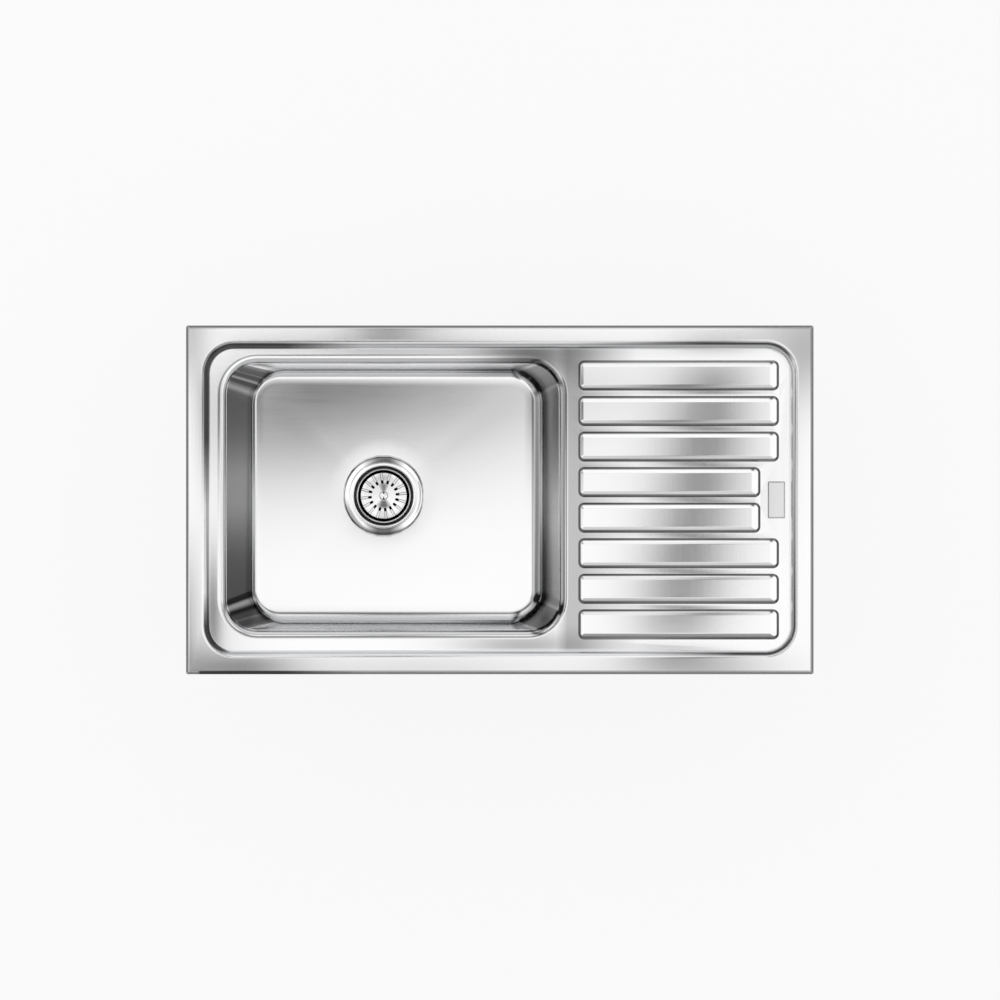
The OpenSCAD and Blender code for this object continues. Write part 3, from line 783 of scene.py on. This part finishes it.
# Deck, step, pan and drainer
deck = {
    "half": (0.457, 0.254), "top": 0.0045, "sheet": 0.001,
    # the turned-down edge as inset and height
    "edge": [(0, 0.0003), (0.0028, 0.0029), (0.0036, 0.0037), (0.0046, 0.0043), (0.0060, 0.0045)],
    "edgeRadius": 0.003, "margin": 0.023, "stepRadius": 0.047, "stepWidth": 0.012, "stepDrop": 0.007,
    "stepTopShare": 0.76, "fall": 0.0003,
}
mouth = {"middle": (-0.156, 0.0045), "half": (0.254, 0.206), "radius": 0.057, "collar": 0.0015}
pad = {
    "length": 0.293, "width": 0.0445, "pitch": 0.0518, "rows": 8, "right": 0.407, "cut": 0.027,
    "radius": 0.009,
}
panTop = deck["top"] - deck["stepDrop"]


def deckRing(inset, radius, height):
    return ring((0, 0), (deck["half"][0] - inset, deck["half"][1] - inset), radius, height)


def stepProfile(steps=12):
    # A wide round down from the deck, then a tight one into the pan, as inset and height
    steepest = 2 * math.atan((deck["stepDrop"] - deck["fall"]) / deck["stepWidth"])
    both = deck["stepWidth"] / math.sin(steepest)
    upper = both * deck["stepTopShare"]
    lower = both - upper
    profile = []
    for number in range(steps + 1):
        angle = steepest * number / steps
        profile.append((upper * math.sin(angle), -deck["fall"] - upper * (1 - math.cos(angle))))
    for number in range(1, steps // 2 + 1):
        angle = steepest * (1 - number / (steps // 2))
        rise = lower * (1 - math.cos(angle))
        profile.append((deck["stepWidth"] - lower * math.sin(angle), rise - deck["stepDrop"]))
    return profile


def padRings(length, middle):
    # The foot, the steep side and the soft bevels, each as left, right and side insets with a height
    levels = [
        (0, 0, 0, 0), (0.0006, 0.0006, 0.0006, 0.0003), (0.0030, 0.0030, 0.0030, 0.0027),
        (0.0036, 0.0036, 0.0036, 0.0031), (0.0046, 0.0048, 0.0048, 0.0034),
        (0.0074, 0.0122, 0.0086, 0.0040), (0.0084, 0.0134, 0.0096, 0.0042),
    ]
    rings = []
    for left, right, side, height in levels:
        half = ((length - left - right) / 2, pad["width"] / 2 - side)
        radius = max(pad["radius"] - side, 0.0012)
        rings.append(ring((middle[0] + (left - right) / 2, middle[1]), half, radius, panTop + height))
    return rings


print("modelling the deck")
rimRings = []
for inset, height in deck["edge"]:
    rimRings.append(deckRing(inset, max(deck["edgeRadius"] - inset, 0.0006), height))
innerRadius = deck["stepRadius"] + 0.001
rimRings.append(deckRing(deck["margin"] - 0.001, innerRadius, deck["top"] - 0.95 * deck["fall"]))
for along, drop in stepProfile():
    rimRings.append(deckRing(deck["margin"] + along, deck["stepRadius"] - along, deck["top"] + drop))
rim = loft("rim", rimRings)

pads = []
longPad = loft("longPad", padRings(pad["length"], (0, 0)))
shortPad = loft("shortPad", padRings(pad["length"] - pad["cut"], (0, 0)))
for part in (longPad, shortPad):
    edit(part)
    selectEdges(part, lambda edge: openEdge(edge) and edge.verts[0].co.z > panTop + 0.004)
    bpy.ops.mesh.edge_face_add()
    leaveEdit()
for row in range(pad["rows"]):
    across = (row - (pad["rows"] - 1) / 2) * pad["pitch"]
    source = shortPad if abs(across) < pad["pitch"] else longPad
    length = pad["length"] - (pad["cut"] if source is shortPad else 0)
    pads.append(copyOf(source, at=(pad["right"] - pad["length"] + length / 2, across, 0)))
for part in (longPad, shortPad):
    bpy.data.objects.remove(part)

mouthHalf = (mouth["half"][0] + mouth["collar"], mouth["half"][1] + mouth["collar"])
mouthEdge = ring(mouth["middle"], mouthHalf, mouth["radius"] + mouth["collar"], panTop, cuts=6)
deckSheet = joined("deck_sheet", [rim, *pads, mouthEdge])
edit(deckSheet)
selectEdges(deckSheet, lambda edge: openEdge(edge) and all(abs(v.co.z - panTop) < 1e-5 for v in edge.verts))
bpy.ops.mesh.fill(use_beauty=True)
selectAll()
bpy.ops.mesh.remove_doubles(threshold=1e-5)
closeMesh()
modify(deckSheet, "SOLIDIFY", thickness=deck["sheet"], offset=-1, use_even_offset=True)
smooth(deckSheet)
dress(deckSheet, finishes["deck"], "sink", "satin_steel", "top_pressing")


# Bowl
bowl = {
    "lip": 0.0125, "lipSteps": 9, "floorEdge": -0.1965, "wallRadius": 0.050, "floorRadius": 0.0305,
    # middle and half size of the wall's foot and of the floor
    "foot": ((-0.1500, 0.0045), (0.2135, 0.1855)), "floor": ((-0.1549, 0.0071), (0.2005, 0.1694)),
    # the fillet is a wide round off the floor, then a tight one into the wall
    "fillet": 0.0195, "wideRound": 0.027, "tightRound": 0.0105, "roundsMeet": 33,
    # the floor's soft outer band, as insets and drops
    "soft": [(0.004, 0.00028), (0.010, 0.00048)],
    # the dished seat round the waste, as radius and height over the floor's low point
    "floorDrop": 0.002,
    "seat": [(0.085, 0.0008), (0.06065, 0.0002), (0.05915, -0.0002), (0.05715, -0.0022),
             (0.05595, -0.0025), (0.0448, -0.00258)],
    # the end walls' faces: how little they look up, and how much to one side
    "wallUp": 0.32, "wallSide": 0.25,
}


def bowlRing(share, height):
    # The share is 0 at the wall's foot and 1 at the floor's edge
    middle, half = (
        tuple(foot + (floor - foot) * share for foot, floor in zip(bowl["foot"][part], bowl["floor"][part]))
        for part in (0, 1)
    )
    radius = bowl["wallRadius"] + (bowl["floorRadius"] - bowl["wallRadius"]) * share
    return ring(middle, half, radius, height, cuts=6)


def floorRing(inset, height):
    middle, half = bowl["floor"]
    return ring(middle, (half[0] - inset, half[1] - inset), bowl["floorRadius"] - inset, height, cuts=6)


def filletProfile(wideSteps=6, tightSteps=5):
    # Shares of the way from the wall's foot to the floor, with heights over the floor
    meet = math.radians(bowl["roundsMeet"])
    wide, tight = bowl["wideRound"], bowl["tightRound"]
    profile = []
    for number in range(wideSteps + 1):
        slope = meet * number / wideSteps
        profile.append((1 - wide * math.sin(slope) / bowl["fillet"], wide * (1 - math.cos(slope))))
    for number in range(1, tightSteps + 1):
        slope = meet + (math.pi / 2 - meet) * number / tightSteps
        inset = wide * math.sin(meet) + tight * (math.sin(slope) - math.sin(meet))
        rise = wide * (1 - math.cos(meet)) + tight * (math.cos(meet) - math.cos(slope))
        profile.append((max(1 - inset / bowl["fillet"], 0), rise))
    return profile[::-1]


def wasteRing(radius, height):
    # The floor's outline, thrown onto a circle round the waste
    made = floorRing(bowl["soft"][-1][0], height)
    floorMiddle = bowl["floor"][0]
    edit(made)
    selectAll()
    bpy.ops.transform.tosphere(value=1)
    leaveEdit()
    corner = made.data.vertices[0].co
    reach = math.hypot(corner.x - floorMiddle[0], corner.y - floorMiddle[1])
    edit(made)
    selectAll()
    scale = radius / reach
    bpy.ops.transform.resize(value=(scale, scale, 1), center_override=(*floorMiddle, height))
    shift = (waste["middle"][0] - floorMiddle[0], waste["middle"][1] - floorMiddle[1], 0)
    bpy.ops.transform.translate(value=shift)
    leaveEdit()
    return made


print("modelling the bowl")
bowlRings = [ring(mouth["middle"], mouthHalf, mouth["radius"] + mouth["collar"], panTop, cuts=6)]
for number in range(bowl["lipSteps"] + 1):
    angle = math.pi / 2 * number / bowl["lipSteps"]
    inset = bowl["lip"] * math.sin(angle)
    half = (mouth["half"][0] - inset, mouth["half"][1] - inset)
    bowlRings.append(ring(
        mouth["middle"], half, mouth["radius"] - inset, panTop - bowl["lip"] * (1 - math.cos(angle)), cuts=6,
    ))
for share, rise in filletProfile():
    bowlRings.append(bowlRing(share, bowl["floorEdge"] + rise))
floorEdge = bowl["floorEdge"]
for inset, drop in bowl["soft"]:
    bowlRings.append(floorRing(inset, floorEdge - drop))
floorLow = floorEdge - bowl["floorDrop"]
for radius, rise in bowl["seat"]:
    bowlRings.append(wasteRing(radius, floorLow + rise))
bowlShell = loft("bowl_shell", bowlRings)
modify(bowlShell, "SOLIDIFY", thickness=deck["sheet"], offset=1, use_even_offset=True)
smooth(bowlShell)
dress(bowlShell, finishes["bowl"], "sink", "satin_steel", "bowl_pressing")
# the end walls take those copies, so that their painted shade stays dark at a low angle
for finish, side in (("bowlLeft", 1), ("bowlRight", -1)):
    faceMaterial(bowlShell, finishes[finish], lambda face: face.center.z > bowl["floorEdge"] + 0.0001
                 and abs(face.normal.z) < bowl["wallUp"]
                 and face.normal.x * side > bowl["wallSide"] * math.hypot(face.normal.x, face.normal.y))


# Waste: flange, throat and threaded outlet, in millimetres from its own axis
def thread(radius, depth, top, foot, turns):
    # A cut thread as rings, from its top down
    pitch = (top - foot) / turns
    rings = []
    for number in range(turns):
        rings += [(radius, top - number * pitch), (radius, top - (number + 0.3) * pitch),
                  (radius - depth, top - (number + 0.65) * pitch)]
    return rings + [(radius, foot)]


def dome(outer, inner, high, low, steps=7):
    # From the outer edge up to the flat, as a soft round
    made = []
    for number in range(steps + 1):
        share = 1 - number / steps
        made.append((inner + (outer - inner) * share, high - (high - low) * share ** 1.6))
    return made


print("modelling the waste")
flangeProfile = [
    (57.15, -200.2), *dome(57.1, 49.4, -198.62, -199.9), (48.9, -198.72), (47.4, -198.78), (45.8, -198.86),
    (44.6, -199.15), (43.7, -199.75), (42.9, -200.7), (42.4, -202.0), (41.2, -205.0), (39.6, -208.4),
    (39.4, -209.2), (37.4, -209.2), (37.4, -243.8), (36.9, -244.5), (27.2, -250.1), (17.8, -250.2),
    (17.8, -271.2), (23.3, -271.2), *reversed(thread(23.9, 0.7, -254.0, -270.6, 9)), (23.9, -251.9),
    (27.0, -251.8), (38.4, -246.4), (39.0, -245.6), (39.0, -220.4), (43.2, -218.4),
    *reversed(thread(43.6, 0.8, -201.6, -218.0, 8)), (43.6, -200.2), (57.15, -200.2),
]
wasteFlange = turned("waste_flange", waste["middle"], flangeProfile)
smooth(wasteFlange, 28)
dress(wasteFlange, finishes["flange"], "sink", "bright_steel", "waste_body")
# the throat's inward faces get the dark steel, as painted shade inside the waste
faceMaterial(wasteFlange, finishes["throat"], lambda face: inward(face, waste["middle"]) > 0.45
             and -0.2092 < face.center.z < -0.1995)


# Basket: rim, wall and a dish with sixteen slots and flutes
basket = {
    "holes": 16, "turn": 6.2, "holeReach": 0.0202, "holeHalf": (0.0029, 0.0019),
    "cutTop": -0.219, "cutDepth": 0.009,
    # each flute's two ends, its round, depth and height, and how much it falls inwards, in degrees
    "flute": (0.0220, 0.0336), "fluteRound": 0.0037, "fluteDepth": 0.00055,
    "fluteHeight": -0.2231, "fluteFall": 0.5,
}

cupProfile = [
    (38.9, -209.2), (38.9, -208.1), (38.8, -207.8), (38.5, -207.64), (38.2, -207.6), (37.9, -207.72),
    (37.5, -208.1), (36.75, -209.4), (34.5, -219.8), (34.2, -221.4), (33.9, -222.4), (33.5, -222.95),
    (32.8, -223.15), (28.0, -223.1), (22.0, -223.05), (16.0, -223.0), (10.0, -222.95), (5.0, -222.9),
    (2.8, -222.85), (2.8, -223.5), (10.0, -223.6), (22.0, -223.8), (33.6, -224.1), (34.8, -223.6),
    (36.9, -212.4), (37.1, -211.2), (37.1, -209.2), (38.9, -209.2),
]
print("modelling the basket")
cup = turned("basket_dish", waste["middle"], cupProfile)
slotRadius = basket["holeHalf"][1] * 0.999
slotCutter = ring((basket["holeReach"], 0), basket["holeHalf"], slotRadius, basket["cutTop"], segments=8)
edit(slotCutter)
selectAll()
bpy.ops.mesh.edge_face_add()
bpy.ops.mesh.extrude_region_move(TRANSFORM_OT_translate={"value": (0, 0, -basket["cutDepth"])})
closeMesh()
deselectAll()
fluteLength = basket["flute"][1] - basket["flute"][0]
bpy.ops.mesh.primitive_cylinder_add(
    vertices=56, radius=basket["fluteRound"], depth=fluteLength,
    rotation=(0, math.radians(90 + basket["fluteFall"]), 0),
    location=(basket["flute"][0] + fluteLength / 2, 0,
              basket["fluteHeight"] + basket["fluteRound"] - basket["fluteDepth"]),
)
fluteCutter = bpy.context.object
applyTransform()
for cutter, name in ((slotCutter, "slots"), (fluteCutter, "flutes")):
    copies = []
    for number in range(basket["holes"]):
        angle = math.radians(basket["turn"] + 360 * number / basket["holes"])
        copies.append(copyOf(cutter, angle, (*waste["middle"], 0)))
    cutters = joined(name, copies)
    modify(cup, "BOOLEAN", object=cutters, operation="DIFFERENCE", solver="EXACT")
    bpy.data.objects.remove(cutters)
    bpy.data.objects.remove(cutter)
smooth(cup, 24)
dress(cup, finishes["cup"], "basket", "bright_steel", "basket_cup")

knobProfile = [
    (2.55, -210.0), (2.55, -215.95), (3.8, -215.95), (3.8, -213.0), (4.3, -211.8), (5.55, -210.9),
    (6.15, -210.2), (6.35, -209.5), (6.35, -208.4), (6.2, -207.7), (5.8, -207.1), (5.15, -206.75),
    (4.3, -206.6), (3.4, -206.75), (2.4, -207.0), (1.2, -207.15), (0.3, -207.2),
]
knobLift = 1.15
knobProfile = [(radius, height + knobLift) for radius, height in knobProfile]
knob = turned("knob", waste["middle"], knobProfile, vertices=72)
smooth(knob)
dress(knob, finishes["knob"], "stem", "bright_steel", "basket_knob")


# Small bare plate on the drainer, with a raised frame
plate = {"middle": (0.403, 0), "half": (0.0125, 0.02675),
         # inset, corner radius and height over the pan
         "levels": [(0, 0.0014, 0), (0, 0.0014, 0.0004), (0.0007, 0.0012, 0.00108), (0.0013, 0.0010, 0.0011),
                    (0.0017, 0.0008, 0.0006)]}

print("modelling the plate")
plateRings = []
for inset, radius, height in plate["levels"]:
    half = (plate["half"][0] - inset, plate["half"][1] - inset)
    plateRings.append(ring(plate["middle"], half, radius, panTop + height, segments=4))
plateFrame = loft("plate", plateRings)
for end in (0, plate["levels"][-1][2]):
    edit(plateFrame)
    selectEdges(plateFrame, lambda edge: openEdge(edge) and abs(edge.verts[0].co.z - panTop - end) < 1e-5)
    bpy.ops.mesh.edge_face_add()
    closeMesh()
smooth(plateFrame)
dress(plateFrame, finishes["plate"], "sink", "plate_steel", "blank_plate")


# Parts under the sink: the CAD pieces with softened edges, each in its own finish
hardware = {
    "rim_seal": ("black", "black_rubber", 0.0005),
    "clip_rail_front": ("zinc", "zinc_plate", 0.0002), "clip_rail_back": ("zinc", "zinc_plate", 0.0002),
    "clip_rail_left": ("zinc", "zinc_plate", 0.0002), "clip_rail_right": ("zinc", "zinc_plate", 0.0002),
    "clip_bolts": ("thread", "zinc_plate", 0.0003),
    "flange_gasket": ("grey", "grey_rubber", 0.0001), "body_gasket": ("black", "black_rubber", 0.0004),
    "friction_ring": ("fibre", "fibre", 0.0001), "locknut": ("cast", "cast_zinc", 0.0006),
    "tailpiece_washer": ("white", "white_plastic", 0.0002), "tailpiece": ("tube", "bright_steel", 0.0002),
    "coupling_nut": ("cast", "cast_zinc", 0.0006), "basket_stem": ("tube", "bright_steel", 0.0003),
    "rubber_stopper": ("black", "black_rubber", 0.0006), "stopper_washer": ("tube", "bright_steel", 0.0002),
    "stem_nut": ("brass", "brass", 0.0003),
}
for node in frame["nodes"]:
    if node.startswith("sound_pad"):
        hardware[node] = ("pad", "grey_rubber", 0.0006)
    elif node.startswith(("clip_nut", "clip_claw")):
        hardware[node] = ("zinc", "zinc_plate", 0.0003)

bodyOf = {node: body for body, nodes in frame["record"]["behaviour"]["bodies"].items() for node in nodes}


def softened(node, finish, slot, width):
    # A copy of a CAD piece, merged, with its sharp edges rounded
    source = frame["nodes"][node]
    copy = bpy.data.objects.new(node + "_soft", source.data.copy())
    bpy.context.scene.collection.objects.link(copy)
    edit(copy)
    selectAll()
    bpy.ops.mesh.remove_doubles(threshold=1e-6)
    bpy.ops.mesh.dissolve_limited(angle_limit=math.radians(0.5))
    leaveEdit()
    modify(copy, "BEVEL", width=width, segments=2, limit_method="ANGLE", angle_limit=math.radians(38),
           use_clamp_overlap=True)
    smooth(copy, 38)
    return dress(copy, finishes[finish], bodyOf[node], slot, node)


print("finishing the parts underneath")
for node, (finish, slot, width) in hardware.items():
    softened(node, finish, slot, width)


# Studio
studio = {
    "floorColour": (0.95, 0.95, 0.95), "floorGlow": 0.88, "floorLevel": 0.99, "floorInSteel": 0.42,
    "cardHeight": 0.85, "cardHalf": (1.25, 0.58), "cardMiddle": (-0.1, 0.04),
    "cardLevel": 1.16, "cardEdge": 0.10,
    # soft dim places of the card: left, right, front, back, the two fades and depth
    "dim": [(-0.265, -0.045, 0.225, 0.50, 0.10, 0.03, 0.85), (-0.9, -0.405, -0.90, -0.03, 0.04, 0.13, 0.62)],
    # the dim line over the pads: middle, lean, width, depth and how far it runs front and back
    "padDim": (0.292, 0.16, 0.055, 0.94, 0.235),
    # the largest dim place: middle, lean, width, depth, the line that it stops at and its left end
    "bowlDim": ((-0.235, 0.165), 0.14, (0.360, 0.112), 1.0, 0.212, -0.44),
    # the surround, brighter at the back left than at the front right
    "worldBright": 0.88, "worldDark": 0.56, "worldLean": 0.6,
    # grey cloth round the scene, which the steep walls mirror
    "flagRadius": 1.7, "flagTop": 0.30, "flagGlow": 0.22,
}

print("building the studio")
floorHeight = cadBox[0].z - 0.0005
deselectAll()
bpy.ops.mesh.primitive_plane_add(size=60, location=(0, 0, floorHeight))
floor = bpy.context.object
floor.name = "floor"


def paleFloor(finish):
    # Pale matt floor that also shines towards the camera, as a lit table does, and shows grey in the
    # steel. From below it is clear, so that the underside can be looked at.
    light = finish.node("ShaderNodeLightPath")
    seen = light.other(0)
    glossy = light.other(3)
    through = light.other(6)
    diffuse = finish.node("ShaderNodeBsdfDiffuse", {}, {"Color": studio["floorColour"]})
    level = studio["floorLevel"]
    glow = finish.node("ShaderNodeEmission", {}, {"Color": (level, level, level), "Strength": 1.0})
    mirrored = (studio["floorInSteel"],) * 3
    inSteel = finish.node("ShaderNodeEmission", {}, {"Color": mirrored, "Strength": 1.0})
    share = (seen + through) * studio["floorGlow"]
    bright = finish.node("ShaderNodeMixShader", {}, {0: share, 1: diffuse, 2: glow})
    above = finish.node("ShaderNodeMixShader", {}, {0: glossy, 1: bright, 2: inSteel})
    fromBelow = finish.node("ShaderNodeNewGeometry", output=6)
    clear = finish.node("ShaderNodeBsdfTransparent", {}, {"Color": (1, 1, 1)})
    return finish.node("ShaderNodeMixShader", {}, {0: fromBelow, 1: above, 2: clear})


floor.data.materials.append(newMaterial("pale_floor", paleFloor))

world = bpy.data.worlds.new("studio")
bpy.context.scene.world = world
world.use_nodes = True
surround = Finish(world.node_tree)
heading = surround.node("ShaderNodeTexCoord", output=0)
eastward = surround.node("ShaderNodeSeparateXYZ", {}, {0: heading})
northward = eastward.other(1)
side = surround.limit((northward - eastward) * studio["worldLean"] + 0.5)
skyLevel = studio["worldDark"] + (studio["worldBright"] - studio["worldDark"]) * side
skyColour = surround.mix(skyLevel, (0, 0, 0), (0.97, 0.98, 1.0))
surround.feed(world.node_tree.nodes["Background"].inputs["Color"], skyColour)


def softboxLight(finish):
    # An even light that fades at its edges and where flags hang in front of it
    x, y, height = finish.axes()
    level = 1
    for left, right, front, back, fadeX, fadeY, depth in studio["dim"]:
        place = finish.between(x, left, right, 1 / fadeX) * finish.between(y, front, back, 1 / fadeY)
        level = level * (1 - place * depth)
    middle, lean, width, depth, end = studio["padDim"]
    place = finish.hill(x - y * lean, middle, width) * finish.between(y, -end, end, 25)
    level = level * (1 - place * depth)
    middle, lean, width, depth, stop, end = studio["bowlDim"]
    across = y - (x - middle[0]) * lean
    place = finish.hill(x, middle[0], width[0]) * finish.hill(across, middle[1], width[1])
    level = level * (1 - place * finish.before(y, stop, 40) * finish.past(x, end, 20) * depth)
    for value, half, middle in ((x, studio["cardHalf"][0], studio["cardMiddle"][0]),
                                (y, studio["cardHalf"][1], studio["cardMiddle"][1])):
        level = level * finish.between(value, middle - half, middle + half, 1 / studio["cardEdge"])
    glow = finish.mix(level, (0, 0, 0), (1, 1, 1))
    return finish.node("ShaderNodeEmission", {}, {"Color": glow, "Strength": studio["cardLevel"]})


deselectAll()
bpy.ops.mesh.primitive_plane_add(size=1, location=(0, 0, studio["cardHeight"]))
softbox = bpy.context.object
softbox.name = "softbox"
softbox.scale = (2 * studio["cardHalf"][0], 2 * studio["cardHalf"][1], 1)
bpy.ops.object.transform_apply(location=False, rotation=True, scale=True)
softbox.data.transform(Matrix.Translation((*studio["cardMiddle"], 0)))
softbox.data.materials.append(newMaterial("softbox", softboxLight))
softbox.visible_camera = False

deselectAll()
bpy.ops.mesh.primitive_cylinder_add(
    vertices=64, radius=studio["flagRadius"], depth=studio["flagTop"] - floorHeight, end_fill_type="NOTHING",
    location=(0, 0, (studio["flagTop"] + floorHeight) / 2)
)
flags = bpy.context.object
flags.name = "flags"
flagGlow = (studio["flagGlow"],) * 3
flags.data.materials.append(newFinish("grey_cloth", lambda finish: {
    "Base Color": (0.5, 0.5, 0.5), "Roughness": 0.9, "Emission Color": flagGlow, "Emission Strength": 1.0,
}))
flags.visible_camera = False
flags.visible_shadow = False
flags.visible_diffuse = False

print("finished")
